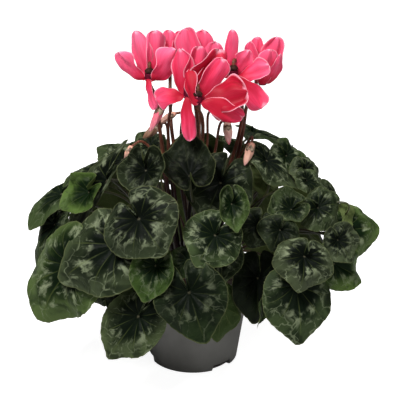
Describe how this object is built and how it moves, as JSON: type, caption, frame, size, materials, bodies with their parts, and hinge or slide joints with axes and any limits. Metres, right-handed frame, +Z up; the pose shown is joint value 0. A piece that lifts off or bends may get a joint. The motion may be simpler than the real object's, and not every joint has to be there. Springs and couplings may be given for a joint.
{
  "type": "potted cyclamen",
  "caption": "Flowering potted cyclamen: marbled heart-shaped leaves, nodding blooms with swept-back petals and furled buds above a tuber in a tapered nursery pot.",
  "frame": {"origin": "centre of the pot's base, on the surface it stands on", "axes": "+Z up the pot's axis, -Y to the plant's front"},
  "size_m": [0.3413, 0.3149, 0.3518],
  "materials": {
    "pot_plastic": "moulded grey plastic, satin, faintly scuffed",
    "compost": "damp crumbly peat compost",
    "tuber_skin": "corky brown skin",
    "leaf": "dark green with silver marbling and pale veins, waxy satin",
    "bloom_stalk": "fleshy reddish-brown stem, satin",
    "petal": "rose pink petals with a crimson base and paler margins, soft sheen",
    "bud": "furled peach and pink petals on fleshy stems"
  },
  "bodies": {
    "root": {"bloom_back_left_corolla": "petal", "bloom_back_left_stalk": "bloom_stalk", "bloom_back_middle_corolla": "petal", "bloom_back_middle_stalk": "bloom_stalk", "bloom_far_right_corolla": "petal", "bloom_far_right_stalk": "bloom_stalk", "bloom_front_left_corolla": "petal", "bloom_front_left_stalk": "bloom_stalk", "bloom_front_middle_corolla": "petal", "bloom_front_middle_stalk": "bloom_stalk", "bloom_left_corolla": "petal", "bloom_left_stalk": "bloom_stalk", "bloom_right_corolla": "petal", "bloom_right_stalk": "bloom_stalk", "bud_peach_back": "bud", "bud_peach_left": "bud", "bud_peach_right": "bud", "bud_pink": "bud", "bud_slender": "bud", "bud_white": "bud", "leaf_back_left": "leaf", "leaf_back_middle": "leaf", "leaf_back_right": "leaf", "leaf_centre_heart": "leaf", "leaf_centre_low": "leaf", "leaf_centre_upper": "leaf", "leaf_far_left_low": "leaf", "leaf_far_right": "leaf", "leaf_front_big": "leaf", "leaf_front_left_low": "leaf", "leaf_front_under": "leaf", "leaf_left_big": "leaf", "leaf_left_cup": "leaf", "leaf_left_heart": "leaf", "leaf_left_low_dark": "leaf", "leaf_left_low_grey": "leaf", "leaf_left_strip": "leaf", "leaf_mid_right_a": "leaf", "leaf_right_bright": "leaf", "leaf_right_cup": "leaf", "leaf_right_grey": "leaf", "leaf_right_low_big": "leaf", "leaf_right_low_dark": "leaf", "leaf_right_mid": "leaf", "leaf_side_right": "leaf", "leaf_teal_cup": "leaf", "leaf_top_dark": "leaf", "leaf_top_right_edge": "leaf", "leaf_upper_left": "leaf", "leaf_upper_left_fold": "leaf", "leaf_upper_right_long": "leaf", "leaf_upper_right_round": "leaf", "leaf_young_curl": "leaf", "pot": "pot_plastic", "soil": "compost", "spent_bloom": "bud", "tuber": "tuber_skin"}
  },
  "joints": []
}
